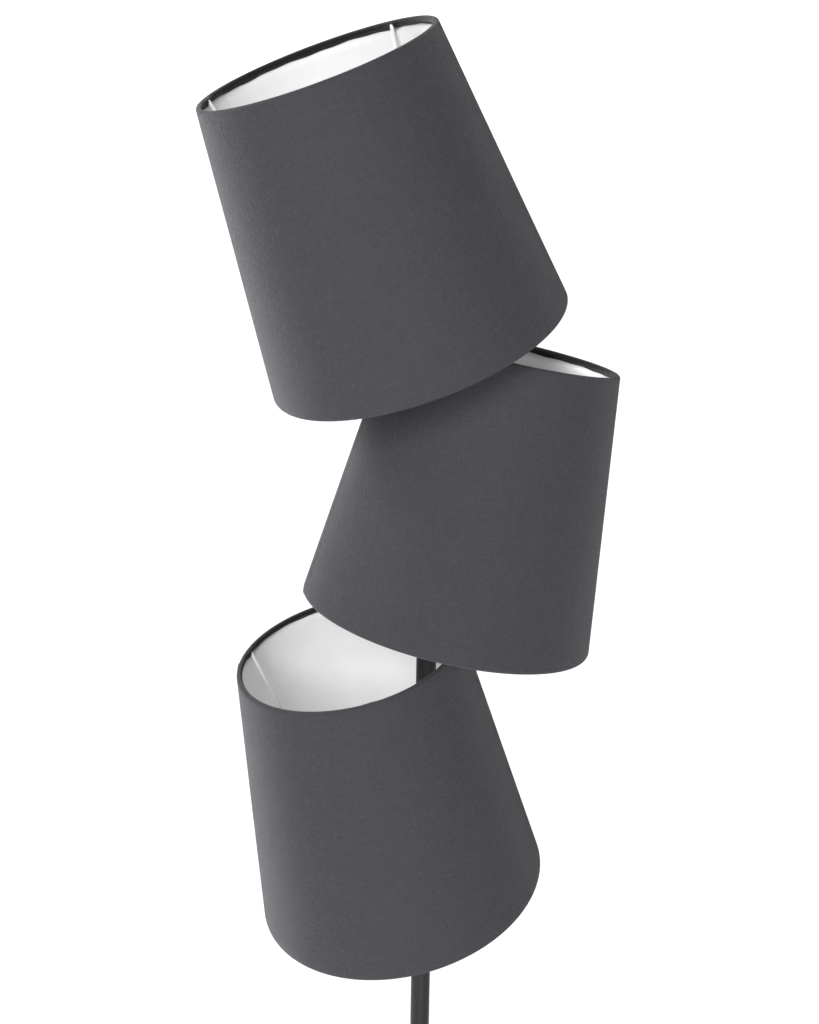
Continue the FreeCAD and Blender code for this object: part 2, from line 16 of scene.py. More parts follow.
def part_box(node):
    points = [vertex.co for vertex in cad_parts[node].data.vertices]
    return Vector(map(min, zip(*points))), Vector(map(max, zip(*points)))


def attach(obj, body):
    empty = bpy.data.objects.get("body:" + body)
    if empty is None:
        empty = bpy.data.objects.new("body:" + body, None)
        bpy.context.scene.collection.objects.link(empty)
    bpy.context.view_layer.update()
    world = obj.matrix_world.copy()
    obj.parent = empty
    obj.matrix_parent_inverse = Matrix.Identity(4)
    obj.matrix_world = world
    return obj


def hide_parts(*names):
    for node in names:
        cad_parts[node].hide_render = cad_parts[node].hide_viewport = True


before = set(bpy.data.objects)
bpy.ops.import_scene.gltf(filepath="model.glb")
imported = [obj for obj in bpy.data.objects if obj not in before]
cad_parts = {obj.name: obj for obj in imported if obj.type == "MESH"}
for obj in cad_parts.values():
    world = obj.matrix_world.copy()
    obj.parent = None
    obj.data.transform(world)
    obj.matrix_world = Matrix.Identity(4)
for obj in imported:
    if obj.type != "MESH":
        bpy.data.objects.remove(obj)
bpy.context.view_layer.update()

# %% [markdown]
# ## The camera
#
# The photograph looks down a little from beside the upper shade. The camera could be placed by
# eye, but the outlines of three equal cones fix it well: its place, turn, tilt and lens were
# worked out from them. The picture was cut from a larger one, so the lens is shifted a little.

# %% Camera
CAMERA_PLACE = Vector((-0.5298, -1.0902, 1.5677))
CAMERA_TURN = math.radians(-24.42)  # from looking along +Y, about the vertical
CAMERA_TILT = math.radians(14.8)  # downwards
CAMERA_ROLL = math.radians(0.67)
CAMERA_LENS = 48.79             # millimetres, on the 36 mm of the picture's long side
CAMERA_SHIFT = (0.0136, -0.0893)  # shares of the long side

camera_data = bpy.data.cameras.new("camera")
camera_data.lens = CAMERA_LENS
camera_data.shift_x, camera_data.shift_y = CAMERA_SHIFT
camera = bpy.data.objects.new("camera", camera_data)
camera.matrix_world = (Matrix.Translation(CAMERA_PLACE)
                       @ Matrix.Rotation(CAMERA_TURN, 4, "Z")
                       @ Matrix.Rotation(math.pi / 2 - CAMERA_TILT, 4, "X")
                       @ Matrix.Rotation(CAMERA_ROLL, 4, "Z"))
bpy.context.scene.collection.objects.link(camera)
bpy.context.scene.camera = camera
print("camera at", tuple(round(v, 3) for v in CAMERA_PLACE), "lens", CAMERA_LENS, "mm")

# %% [markdown]
# ## The studio
#
# The photograph is a plain product shot on white. A soft light stands high in front and to the
# left: it also shines into the shades and lights their white linings. A low one in front fills in
# a little from the right, and reaches the lower shades more than the upper one, whose right side
# turns up and away. A third light behind on the left grazes the cloth there. The surroundings are
# white to the camera but light the lamp only weakly.

# %% Soft lights
LAMP_MIDDLE = Vector((0.0, 0.0, 1.15))
SOFT_LIGHTS = {
    # name: place, width, height, watts
    "front_light": (Vector((-1.81, -2.01, 2.3)), 1.1, 1.1, 67.0),
    "low_light": (Vector((-0.65, -2.62, 0.4)), 1.1, 0.9, 38.0),
    "edge_light": (Vector((-1.74, 2.07, 2.8)), 0.9, 1.3, 104.0),
}


def soft_light(name, place, width, height, watts):
    """A rectangular light that faces the middle of the lamp."""
    data = bpy.data.lights.new(name, "AREA")
    data.shape = "RECTANGLE"
    data.size = width
    data.size_y = height
    data.energy = watts
    light = bpy.data.objects.new(name, data)
    aim = (LAMP_MIDDLE - place).to_track_quat("-Z", "Y")
    light.matrix_world = Matrix.Translation(place) @ aim.to_matrix().to_4x4()
    light.visible_camera = False
    bpy.context.scene.collection.objects.link(light)
    return light


for light_name, values in SOFT_LIGHTS.items():
    soft_light(light_name, *values)
print(len(SOFT_LIGHTS), "soft lights")

# %% White surroundings
SURROUND_LIGHT = 0.19
SURROUND_SEEN = 1.3

bpy.context.scene.view_settings.view_transform = "Standard"
world = bpy.data.worlds.new("surroundings")
bpy.context.scene.world = world
world.use_nodes = True
tree = world.node_tree
background = tree.nodes["Background"]
background.inputs["Color"].default_value = (1, 1, 1, 1)
camera_ray = tree.nodes.new("ShaderNodeLightPath")
strength = tree.nodes.new("ShaderNodeMapRange")
strength.inputs["To Min"].default_value = SURROUND_LIGHT
strength.inputs["To Max"].default_value = SURROUND_SEEN
tree.links.new(camera_ray.outputs["Is Camera Ray"], strength.inputs["Value"])
tree.links.new(strength.outputs["Result"], background.inputs["Strength"])
print("surroundings light", SURROUND_LIGHT)

# %% [markdown]
# ## Small tools for materials
#
# A material here is a Principled shader whose colour, roughness and bump come from procedural
# patterns. Patterns that several materials use are node groups. Small helpers keep the node code
# short: they place a node with its values, or make a group or a material.

# %% Helpers for nodes
MIX_FACTOR, MIX_FIRST_COLOUR, MIX_SECOND_COLOUR, MIX_COLOUR = 0, 6, 7, 2    # sockets of a Mix node


def add(tree, kind, *links, **values):
    """Places a node. Links go to its inputs in order, and values are its settings or named inputs."""
    node = tree.nodes.new("ShaderNode" + kind)
    for name, value in values.items():
        label = name.replace("_", " ").title()
        if name in node.bl_rna.properties:
            setattr(node, name, value)
        else:
            node.inputs[label].default_value = value
    for socket, source in zip(node.inputs, links):
        if isinstance(source, (int, float)):
            socket.default_value = source
        elif source is not None:
            tree.links.new(source, socket)
    return node.outputs[0]


def calc(tree, operation, *values):
    """A Math node on the given sockets or numbers."""
    return add(tree, "Math", *values, operation=operation)


def new_group(name, inputs, outputs):
    """An empty node group. Sockets are (name, kind) pairs, and a kind is Float or Vector."""
    group = bpy.data.node_groups.new(name, "ShaderNodeTree")
    for way, sockets in (("INPUT", inputs), ("OUTPUT", outputs)):
        for label, kind in sockets:
            group.interface.new_socket(label, in_out=way, socket_type="NodeSocket" + kind)
    entry = group.nodes.new("NodeGroupInput")
    result = group.nodes.new("NodeGroupOutput")
    return group, entry.outputs, result.inputs


def new_material(name, **plain):
    """A material and its Principled shader, with constant values on the shader's own sockets."""
    material = bpy.data.materials.new(name)
    material.use_nodes = True
    shader = material.node_tree.nodes["Principled BSDF"]
    for label, value in plain.items():
        shader.inputs[label.replace("_", " ").title().replace("Ior", "IOR")].default_value = value
    return material, material.node_tree, shader.inputs


def use_group(tree, group, **inputs):
    """Places a group in a material. Inputs are sockets or numbers by name."""
    node = tree.nodes.new("ShaderNodeGroup")
    node.node_tree = group
    for label, source in inputs.items():
        socket = node.inputs[label.replace("_", " ").title()]
        if isinstance(source, (int, float)):
            socket.default_value = source
        else:
            tree.links.new(source, socket)
    return node.outputs


def ramp(tree, value, *stops):
    """A Color Ramp with (place, grey or colour) stops."""
    node = tree.nodes.new("ShaderNodeValToRGB")
    tree.links.new(value, node.inputs[0])
    elements = node.color_ramp.elements
    while len(elements) < len(stops):
        elements.new(0.5)
    for element, (place, tone) in zip(elements, stops):
        element.position = place
        element.color = (*tone, 1) if isinstance(tone, tuple) else (tone, tone, tone, 1)
    return node.outputs[0]


def mixed(tree, factor, first, second):
    """Goes from the colour on the first socket to the second, a plain one, with the factor."""
    node = tree.nodes.new("ShaderNodeMix")
    node.data_type = "RGBA"
    tree.links.new(factor, node.inputs[MIX_FACTOR])
    tree.links.new(first, node.inputs[MIX_FIRST_COLOUR])
    node.inputs[MIX_SECOND_COLOUR].default_value = (*second, 1)
    return node.outputs[MIX_COLOUR]


def weighted(tree, *pairs):
    """Adds up sockets, each times its weight."""
    total = None
    for source, weight in pairs:
        part = calc(tree, "MULTIPLY", source, weight)
        total = calc(tree, "ADD", total, part) if total else part
    return total


def bump(tree, height, distance, strength=1.0, under=None):
    """A Bump node, alone or over another. Its distance is the pattern's real height in metres."""
    node = tree.nodes.new("ShaderNodeBump")
    node.inputs["Distance"].default_value = distance
    node.inputs["Strength"].default_value = strength
    tree.links.new(height, node.inputs["Height"])
    if under:
        tree.links.new(under, node.inputs["Normal"])
    return node.outputs[0]


def object_place(tree):
    """The coordinates of a piece's own mesh, which stay with it when it moves."""
    return tree.nodes.new("ShaderNodeTexCoord").outputs["Object"]


print("node helpers ready")

# %% [markdown]
# ## Woven cloth
#
# The shades are covered in a fine plain weave: each thread goes over one and under the next. The
# weave is worked out from the cloth's own flat coordinates, so it runs round the shade as a cut
# piece of cloth does and turns in over the hems. Two sine waves give the round threads, and their
# product says which thread is on top. Stretched noise makes single threads paler, and here and
# there a slub, a short thick place, stands out of the cloth.

# %% The weave as a node group
WANDER_SCALE = 0.08             # of the noise that bends the threads, per thread
UNDER_HEIGHT = 0.6              # of a thread's middle between its highs and lows
OVER_RISE = 0.4                 # how far it rises from there, or dips
TONE_STRIDE = 5.31              # from thread to thread in the noise, so that they differ
TONE_SCALE = 0.035              # of the noise along a thread
SLUB_STRANDS = 0.42             # strands to a thread: a slub is a few threads wide
SLUB_STRIDE = 3.17
SLUB_SCALE = 0.085
SLUB_EDGES = (0.66, 0.80)       # of the noise, where a slub starts and where it is full
NAP_SCALE = 0.17

weave, weave_in, weave_out = new_group(
    "plain_weave",
    [("Cloth", "Vector"), ("Pitch", "Float"), ("Drift", "Float")],
    [("Height", "Float"), ("Thread", "Float"), ("Nap", "Float"), ("Slub", "Float")])
per_thread = calc(weave, "DIVIDE", 1.0, weave_in["Pitch"])
threads = weave.nodes.new("ShaderNodeVectorMath")
threads.operation = "SCALE"
weave.links.new(weave_in["Cloth"], threads.inputs["Vector"])
weave.links.new(per_thread, threads.inputs["Scale"])
wander = add(weave, "TexNoise", threads.outputs[0], scale=WANDER_SCALE, detail=1.0)
shift = calc(weave, "MULTIPLY", calc(weave, "SUBTRACT", wander, 0.5), weave_in["Drift"])
axes = weave.nodes.new("ShaderNodeSeparateXYZ")
weave.links.new(threads.outputs[0], axes.inputs[0])
across = calc(weave, "ADD", axes.outputs["X"], shift)
along = calc(weave, "SUBTRACT", axes.outputs["Y"], shift)
warp_wave = calc(weave, "SINE", calc(weave, "MULTIPLY", across, math.pi))
weft_wave = calc(weave, "SINE", calc(weave, "MULTIPLY", along, math.pi))
over = calc(weave, "MULTIPLY", calc(weave, "MULTIPLY", warp_wave, weft_wave), OVER_RISE)
warp_level = calc(weave, "ADD", over, UNDER_HEIGHT)
weft_level = calc(weave, "SUBTRACT", UNDER_HEIGHT, over)
warp = calc(weave, "MULTIPLY", calc(weave, "ABSOLUTE", warp_wave), warp_level)
weft = calc(weave, "MULTIPLY", calc(weave, "ABSOLUTE", weft_wave), weft_level)
weave.links.new(calc(weave, "MAXIMUM", warp, weft), weave_out["Height"])


def strand_noise(number, run, strands, stride, scale, detail):
    """Noise drawn out along each strand of threads, different from strand to strand."""
    strand = calc(weave, "FLOOR", calc(weave, "MULTIPLY", number, strands))
    place = add(weave, "CombineXYZ", calc(weave, "MULTIPLY", strand, stride),
                calc(weave, "MULTIPLY", run, scale))
    return add(weave, "TexNoise", place, scale=1.0, detail=detail)


def thread_tone(number, run):
    """A slow change of tone along each thread."""
    return strand_noise(number, run, 1.0, TONE_STRIDE, TONE_SCALE, 2.0)


def slubs(number, run):
    """Short thick places that a few neighbouring threads share."""
    noise = strand_noise(number, run, SLUB_STRANDS, SLUB_STRIDE, SLUB_SCALE, 0.0)
    return ramp(weave, noise, (SLUB_EDGES[0], 0.0), (SLUB_EDGES[1], 1.0))


on_top = calc(weave, "GREATER_THAN", warp, weft)
tone = weave.nodes.new("ShaderNodeMix")
weave.links.new(on_top, tone.inputs["Factor"])
weave.links.new(thread_tone(along, across), tone.inputs["A"])
weave.links.new(thread_tone(across, along), tone.inputs["B"])
weave.links.new(tone.outputs[0], weave_out["Thread"])
weave.links.new(calc(weave, "MAXIMUM", slubs(across, along), slubs(along, across)),
                weave_out["Slub"])
nap = add(weave, "TexNoise", threads.outputs[0], scale=NAP_SCALE, detail=4.0, roughness=0.65)
weave.links.new(nap, weave_out["Nap"])
print("weave group with", len(weave.nodes), "nodes")

# %% Charcoal cloth
THREAD_PITCH = 0.00055
THREAD_HEIGHT = 0.00016
THREAD_DRIFT = 0.5              # how far the threads wander, in threads
NAP_HEIGHT = 0.0012
NAP_SHARE = 0.75
SLUB_RELIEF = 0.7               # of the threads' height
DARK_TONE = (0.030, 0.0294, 0.0345)
PALE_TONE = (0.060, 0.059, 0.0665)
PRESSED_TONE_AND_SEAM_SHADOW = (0.014, 0.0138, 0.0155)  # where the cloth is turned in and glued, and a painted shadow along the lap's raised edge

charcoal, tree, shader = new_material("charcoal_cloth", sheen_weight=0.3, sheen_roughness=0.25,
                                      sheen_tint=(0.86, 0.86, 0.9, 1), specular_ior_level=0.25)
cloth_place = tree.nodes.new("ShaderNodeUVMap")
cloth_place.uv_map = "cloth"
threads = use_group(tree, weave, cloth=cloth_place.outputs[0], pitch=THREAD_PITCH,
                    drift=THREAD_DRIFT)
pattern = weighted(tree, (threads["Thread"], 0.5), (threads["Height"], 0.3),
                   (threads["Nap"], 0.35), (threads["Slub"], 0.07))
wall_tone = ramp(tree, pattern, (0.36, DARK_TONE), (0.76, PALE_TONE))
hem_press_and_seam_shadow = tree.nodes.new("ShaderNodeAttribute")
hem_press_and_seam_shadow.attribute_name = "hem_press_and_seam_shadow"
# Darker where the hem is turned in, and along the lap's raised edge, where the dark is a painted
# shadow.
tree.links.new(mixed(tree, hem_press_and_seam_shadow.outputs["Fac"], wall_tone, PRESSED_TONE_AND_SEAM_SHADOW), shader["Base Color"])
tree.links.new(ramp(tree, threads["Nap"], (0.3, 0.80), (0.7, 0.97)), shader["Roughness"])
relief = weighted(tree, (threads["Height"], 1.0), (threads["Slub"], SLUB_RELIEF))
nap_bump = bump(tree, threads["Nap"], NAP_HEIGHT, NAP_SHARE)
tree.links.new(bump(tree, relief, THREAD_HEIGHT, under=nap_bump), shader["Normal"])
print("charcoal cloth, threads", THREAD_PITCH * 1000, "mm apart")

# %% [markdown]
# ## White film
#
# The lining is a smooth white film that throws the light out of the shade. It isn't quite even:
# the glue behind it shows as a faint mottling, and it has a soft gloss.

# %% White lining film
FILM_DARK = (0.885, 0.893, 0.886)
FILM_LIGHT = (0.915, 0.921, 0.915)
MOTTLE_SCALE = 38.0             # patches in a metre
MOTTLE_HEIGHT = 0.0004

film, tree, shader = new_material("white_film", roughness=0.42, specular_ior_level=0.4)
mottle = add(tree, "TexNoise", object_place(tree), scale=MOTTLE_SCALE, detail=3.0)
tree.links.new(ramp(tree, mottle, (0.3, FILM_DARK), (0.7, FILM_LIGHT)), shader["Base Color"])
tree.links.new(bump(tree, mottle, MOTTLE_HEIGHT, 0.4), shader["Normal"])
print("white film")

# %% [markdown]
# ## Hard finishes
#
# Paint, plastic, metal and rubber differ mostly in tone and gloss, but all of them have a fine
# grain, slow changes of tone, and a few specks of dust or small pits. One group gives those three
# patterns at the scale of a material's grain, and a material mixes them in its own measure.

# %% Grain, drift and specks as a node group
DRIFT_SCALE = 0.03              # shares of the grain's own scale
SPECK_SCALE = 0.12
SPECK_EDGES = (0.03, 0.09)      # of a cell, where a speck is full and where it ends

skin, skin_in, skin_out = new_group(
    "surface_skin",
    [("Place", "Vector"), ("Grain", "Float")],
    [("Height", "Float"), ("Drift", "Float"), ("Specks", "Float")])
per_grain = calc(skin, "DIVIDE", 1.0, skin_in["Grain"])
grain = add(skin, "TexNoise", skin_in["Place"], None, per_grain, detail=2.0)
skin.links.new(grain, skin_out["Height"])
slow = calc(skin, "MULTIPLY", per_grain, DRIFT_SCALE)
drift = add(skin, "TexNoise", skin_in["Place"], None, slow, detail=5.0, roughness=0.6)
skin.links.new(drift, skin_out["Drift"])
spread = calc(skin, "MULTIPLY", per_grain, SPECK_SCALE)
cells = add(skin, "TexVoronoi", skin_in["Place"], None, spread)
skin.links.new(ramp(skin, cells, (SPECK_EDGES[0], 1.0), (SPECK_EDGES[1], 0.0)), skin_out["Specks"])
print("surface group with", len(skin.nodes), "nodes")

# %% A hard finish from its tones


def hard_finish(name, dark, light, gloss, grain, depth, speck, **plain):
    """A drifting tone with specks. gloss is a range of roughness, grain and depth are in metres."""
    material, tree, shader = new_material(name, **plain)
    pattern = use_group(tree, skin, place=object_place(tree), grain=grain)
    tone = ramp(tree, pattern["Drift"], (0.32, dark), (0.68, light))
    tree.links.new(mixed(tree, pattern["Specks"], tone, speck), shader["Base Color"])
    worn = weighted(tree, (pattern["Drift"], 0.7), (pattern["Height"], 0.3))
    tree.links.new(ramp(tree, worn, (0.3, gloss[0]), (0.7, gloss[1])), shader["Roughness"])
    tree.links.new(bump(tree, pattern["Height"], depth), shader["Normal"])
    return material


black_coat = hard_finish("black_powder_coat", (0.009, 0.009, 0.0102), (0.0135, 0.0135, 0.015),
                         (0.36, 0.5), 0.0009, 0.00003, (0.03, 0.03, 0.031),
                         specular_ior_level=0.35)
white_coat = hard_finish("white_powder_coat", (0.74, 0.745, 0.74), (0.82, 0.82, 0.81),
                         (0.3, 0.42), 0.0008, 0.00003, (0.6, 0.6, 0.58))
moulded = hard_finish("black_moulded_plastic", (0.014, 0.014, 0.015), (0.022, 0.022, 0.023),
                      (0.38, 0.55), 0.0004, 0.00002, (0.04, 0.04, 0.04))
iron = hard_finish("cast_iron", (0.045, 0.042, 0.04), (0.085, 0.08, 0.076),
                   (0.55, 0.8), 0.0016, 0.0003, (0.03, 0.027, 0.024), metallic=0.6)
rubber = hard_finish("black_rubber", (0.012, 0.012, 0.012), (0.024, 0.024, 0.024),
                     (0.62, 0.82), 0.0005, 0.00004, (0.05, 0.048, 0.045))
print("five hard finishes")

# %% [markdown]
# Bare metals show how they were made: turned brass and nickel have fine rings round their axis,
# and zinc plate has a cloudy, slightly blue and yellow skin.

# %% Bare metals
METAL_GRAIN = 0.0006
TOOL_DEPTH = 0.000008


def turned_metal(name, dark, light, gloss, ring_pitch):
    """A metal with fine tool rings that follow the lamp's height."""
    material, tree, shader = new_material(name, metallic=1.0)
    place = object_place(tree)
    pattern = use_group(tree, skin, place=place, grain=METAL_GRAIN)
    height = tree.nodes.new("ShaderNodeSeparateXYZ")
    tree.links.new(place, height.inputs[0])
    turns = calc(tree, "MULTIPLY", height.outputs["Z"], 2 * math.pi / ring_pitch)
    tool = calc(tree, "SINE", turns)
    rings = calc(tree, "MULTIPLY", calc(tree, "ADD", tool, 1.0), 0.5)
    tree.links.new(ramp(tree, pattern["Drift"], (0.3, dark), (0.7, light)), shader["Base Color"])
    worn = weighted(tree, (rings, 0.25), (pattern["Drift"], 0.75))
    tree.links.new(ramp(tree, worn, (0.25, gloss[0]), (0.75, gloss[1])), shader["Roughness"])
    tree.links.new(bump(tree, rings, TOOL_DEPTH), shader["Normal"])
    return material


brass = turned_metal("turned_brass", (0.62, 0.41, 0.16), (0.8, 0.56, 0.25), (0.2, 0.4), 0.0006)
nickel = turned_metal("nickel_plate", (0.52, 0.5, 0.46), (0.66, 0.64, 0.6), (0.18, 0.36), 0.0008)
zinc = hard_finish("zinc_plate", (0.46, 0.47, 0.5), (0.6, 0.59, 0.55), (0.3, 0.52), 0.0012,
                   0.00001, (0.36, 0.35, 0.33), metallic=1.0)
print("three metals")

# %% [markdown]
# The bulb is opal glass, white through and through with a gloss on top. The felt under the base is
# pressed wool: short crossed fibres, drawn as noise that is stretched along three directions.

# %% Opal glass and felt
GLASS_DARK = (0.87, 0.87, 0.85)
GLASS_LIGHT = (0.91, 0.91, 0.895)
GLASS_GRAIN = 0.0011
GLASS_DEPTH = 0.000015

opal, tree, shader = new_material("opal_glass", roughness=0.16, coat_weight=0.5,
                                  coat_roughness=0.06)
pattern = use_group(tree, skin, place=object_place(tree), grain=GLASS_GRAIN)
tone = ramp(tree, pattern["Drift"], (0.3, GLASS_DARK), (0.7, GLASS_LIGHT))
tree.links.new(tone, shader["Base Color"])
tree.links.new(bump(tree, pattern["Height"], GLASS_DEPTH), shader["Normal"])

FIBRE_W = 0.00014
FIBRE_L = 0.0022
FIBRE_TURNS = (0.5, 1.9, 2.8)   # radians, of the layers that cross
FELT_DARK = (0.012, 0.012, 0.013)
FELT_PALE = (0.06, 0.06, 0.062)
FELT_DEPTH = 0.0004

felt, tree, shader = new_material("pressed_felt", sheen_weight=0.3, sheen_roughness=0.6,
                                  specular_ior_level=0.15)
place = object_place(tree)
fibres = None
for turn in FIBRE_TURNS:
    laid = tree.nodes.new("ShaderNodeMapping")
    laid.inputs["Rotation"].default_value = (0, 0, turn)
    laid.inputs["Scale"].default_value = (1 / FIBRE_W, 1 / FIBRE_L, 1 / FIBRE_W)
    tree.links.new(place, laid.inputs["Vector"])
    layer = add(tree, "TexNoise", laid.outputs[0], scale=1.0, detail=2.0)
    fibres = calc(tree, "MAXIMUM", fibres, layer) if fibres else layer
tree.links.new(ramp(tree, fibres, (0.42, FELT_DARK), (0.75, FELT_PALE)), shader["Base Color"])
tree.links.new(ramp(tree, fibres, (0.4, 0.98), (0.75, 0.86)), shader["Roughness"])
tree.links.new(bump(tree, fibres, FELT_DEPTH), shader["Normal"])
print("opal glass and felt")

# %% [markdown]
# ## The shade's measures
#
# Each shade hangs on two wire rings, which the frame already has. Their boxes give the shade's
# axis, the rings' radii and the distance between them, and everything on a shade is measured from
# them: how far up the wall from the bottom ring, and how far out from the line between the rings.

# %% Rings and axes
HEAD_NAMES = ("upper", "middle", "lower")
RING_WIRE_R = 0.0015


def ring_middle(node):
    """The middle of a node's box."""
    low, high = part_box(node)
    return (low + high) / 2


def head_place(name):
    """From a head's axes to the lamp's: bottom ring's centre, +X to the pole, +Z up the shade."""
    bottom = ring_middle(name + "_bottom_ring")
    up = (ring_middle(name + "_top_ring") - bottom).normalized()
    side = Vector((0, 1, 0)) if bottom.x < 0 else Vector((0, -1, 0))
    return Matrix.Translation(bottom) @ Matrix((side.cross(up), side, up)).transposed().to_4x4()


def ring_radius(node):
    """The radius to the middle of a ring's wire."""
    low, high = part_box(node)
    return (high.y - low.y) / 2 - RING_WIRE_R


HEAD_PLACES = {name: head_place(name) for name in HEAD_NAMES}
BOTTOM_RING_R = ring_radius("upper_bottom_ring")
TOP_RING_R = ring_radius("upper_top_ring")
RING_RISE = (ring_middle("upper_top_ring") - ring_middle("upper_bottom_ring")).length
WALL_LEAN = math.atan2(BOTTOM_RING_R - TOP_RING_R, RING_RISE)
WALL_SPAN = math.hypot(BOTTOM_RING_R - TOP_RING_R, RING_RISE)
print("rings", round(TOP_RING_R * 2000, 1), "and", round(BOTTOM_RING_R * 2000, 1), "mm,",
      round(RING_RISE * 1000, 1), "mm apart")

# %% [markdown]
# ## The cover of a shade
#
# On the real shade a sheet of cloth on film is rolled into a cone. At each end it turns round the
# wire ring, and its edge is tucked in over the lining and glued. A solid of revolution could show
# that, but the real one is one thin sheet, so the sheet's middle line is drawn once, spun round
# the axis, and given its thickness at the end. A path length kept on each vertex gives the cloth
# its flat coordinates: a cone unrolls to a fan, so the threads lean more towards the back seam.

# %% The line of the sheet
CLOTH_T = 0.0008
HEM_GAP = 0.0003                # between the cloth and the wire inside the hem
HEM_R = RING_WIRE_R + HEM_GAP + CLOTH_T / 2
WALL_OUT = HEM_R                # the wall leaves the hem's turn at its side
TUCK_LENGTH = 0.0044
TUCK_OUT = 0.00063              # the tucked edge ends this far out of the rings' line
HEM_STEPS = 14
TUCK_STEPS = 4
WALL_STEPS = 26


def from_ring_line(along, out):
    """A point of the shade's section, from its way up the wall and out from the rings' line."""
    radius = BOTTOM_RING_R - along * math.sin(WALL_LEAN) + out * math.cos(WALL_LEAN)
    return Vector((radius, 0, along * math.cos(WALL_LEAN) + out * math.sin(WALL_LEAN)))


def hem_line(way):
    """From the wall round the wire to the tucked edge. way is 1 at the top, -1 at the bottom."""
    ring = WALL_SPAN if way > 0 else 0
    reach = math.hypot(TUCK_LENGTH, TUCK_OUT)
    turn = 1.5 * math.pi - math.acos(HEM_R / reach) + math.asin(TUCK_OUT / reach)
    angles = [turn * i / HEM_STEPS for i in range(HEM_STEPS + 1)]
    line = [(ring + way * HEM_R * math.sin(a), HEM_R * math.cos(a)) for a in angles]
    start, end = line[-1], (ring - way * TUCK_LENGTH, TUCK_OUT)
    shares = [(i + 1) / TUCK_STEPS for i in range(TUCK_STEPS)]
    return line + [(start[0] + (end[0] - start[0]) * s, start[1] + (end[1] - start[1]) * s)
                   for s in shares]


wall = [(WALL_SPAN * i / WALL_STEPS, WALL_OUT) for i in range(1, WALL_STEPS)]
sheet_line = hem_line(-1)[::-1] + wall + hem_line(1)
print("sheet line of", len(sheet_line), "points")

# %% Spin a sheet and keep its flat coordinates
ROUND_STEPS = 240
SEAM_ANGLE = {"upper": 150.0, "middle": -18.0, "lower": 150.0}     # degrees, from the pole's side


def spun_sheet(line, seam_angle, sweep=2 * math.pi, steps=ROUND_STEPS):
    """Spins a line of (along, out) points round the shade's axis, from the seam on."""
    bm = bmesh.new()
    path = bm.verts.layers.float.new("path")
    turn = Matrix.Rotation(math.radians(seam_angle), 3, "Z")
    verts = [bm.verts.new(turn @ from_ring_line(*point)) for point in line]
    for before, vert in zip(verts, verts[1:]):
        vert[path] = before[path] + (vert.co - before.co).length
        bm.edges.new((before, vert))
    bmesh.ops.spin(bm, geom=bm.verts[:] + bm.edges[:], cent=(0, 0, 0), axis=(0, 0, 1),
                   angle=sweep, steps=steps, use_merge=sweep == 2 * math.pi)
    bmesh.ops.recalc_face_normals(bm, faces=bm.faces)
    return bm


def lay_flat(bm, seam_angle, start):
    """Writes the cloth's flat coordinates in metres: the cone unrolled, grain opposite the seam."""
    path = bm.verts.layers.float["path"]
    flat = bm.loops.layers.uv.new("cloth")
    apex = BOTTOM_RING_R / math.sin(WALL_LEAN)
    seam = math.radians(seam_angle)
    for face in bm.faces:
        centre = face.calc_center_median()
        middle = (math.atan2(centre.y, centre.x) - seam) % (2 * math.pi) - math.pi
        for loop in face.loops:
            x, y, _ = loop.vert.co
            turned = (math.atan2(y, x) - seam - middle) % (2 * math.pi) - math.pi
            fan = (middle + turned) * math.sin(WALL_LEAN)
            slant = apex - (loop.vert[path] - start)
            loop[flat].uv = (slant * math.sin(fan), apex - slant * math.cos(fan))


def path_at(line, index):
    """The length of the line up to one of its points."""
    points = [from_ring_line(*point) for point in line]
    return sum((b - a).length for a, b in zip(points[:index], points[1:index + 1]))


HEM_POINTS = HEM_STEPS + TUCK_STEPS + 1
WALL_FROM = path_at(sheet_line, HEM_POINTS - 1)
WALL_END = path_at(sheet_line, len(sheet_line) - HEM_POINTS)
LINE_LENGTH = path_at(sheet_line, len(sheet_line) - 1)
print("wall from", round(WALL_FROM * 1000, 1), "to", round(WALL_END * 1000, 1), "mm along the sheet")

# %% [markdown]
# The tucked top edge can't lie flat where a wire of the spider stands in its way. It goes over the
# wire's end like a small tent, and the wire comes out from under it. The further the cloth has
# turned over the ring, the more it is lifted, and its edge rises a little, as its length is fixed.

# %% Lift the tuck over a wire
SPIDER_WIRES = 3
WIRE_ANGLE = {"upper": 24.0, "middle": 20.0, "lower": 18.0}       # degrees, of the first wire
TENT_LIFT = 0.0034              # inwards, at the cut edge over the middle of the wire
TENT_RISE = 0.0006              # upwards, there
TENT_CURVE = 0.85               # under 1, so that most of the lift comes early
TENT_FLAT = 0.0019              # half the width that lies on the wire
TENT_REACH = 0.0075             # where the cloth is flat again, on each side


def wire_turn(name, wire):
    """The angle of one of a spider's wires, in radians from the pole's side."""
    return math.radians(WIRE_ANGLE[name]) + wire * 2 * math.pi / SPIDER_WIRES


def lift_over_wire(bm, angle, line_length):
    """Lifts the tucked edge where a wire at this angle comes out from under it."""
    path = bm.verts.layers.float["path"]
    turn = Matrix.Rotation(angle, 3, "Z")
    back = turn.inverted()
    ring_top = WALL_END + HEM_R * math.pi / 2
    for vert in bm.verts:
        x, y, _ = back @ vert.co
        turned = (vert[path] - ring_top) / (line_length - ring_top)
        if turned > 0 and x > 0 and abs(y) < TENT_REACH:
            share = min(1.0, (TENT_REACH - abs(y)) / (TENT_REACH - TENT_FLAT))
            lift = Vector((-TENT_LIFT * turned ** TENT_CURVE, 0, TENT_RISE * turned))
            vert.co += turn @ lift * share


print("tents", TENT_REACH * 2000, "mm wide over the wires")

# %% [markdown]
# The part of the cloth that is turned in is pressed flat and soaked with glue, so it is darker
# than the wall. A value on each vertex says how far the cloth has turned in.

# %% Mark the cloth that is turned in
TURN_FROM = 0.0036              # from the end of the wall, along the sheet
TURN_OVER = 0.0022              # along which it goes from plain to dark


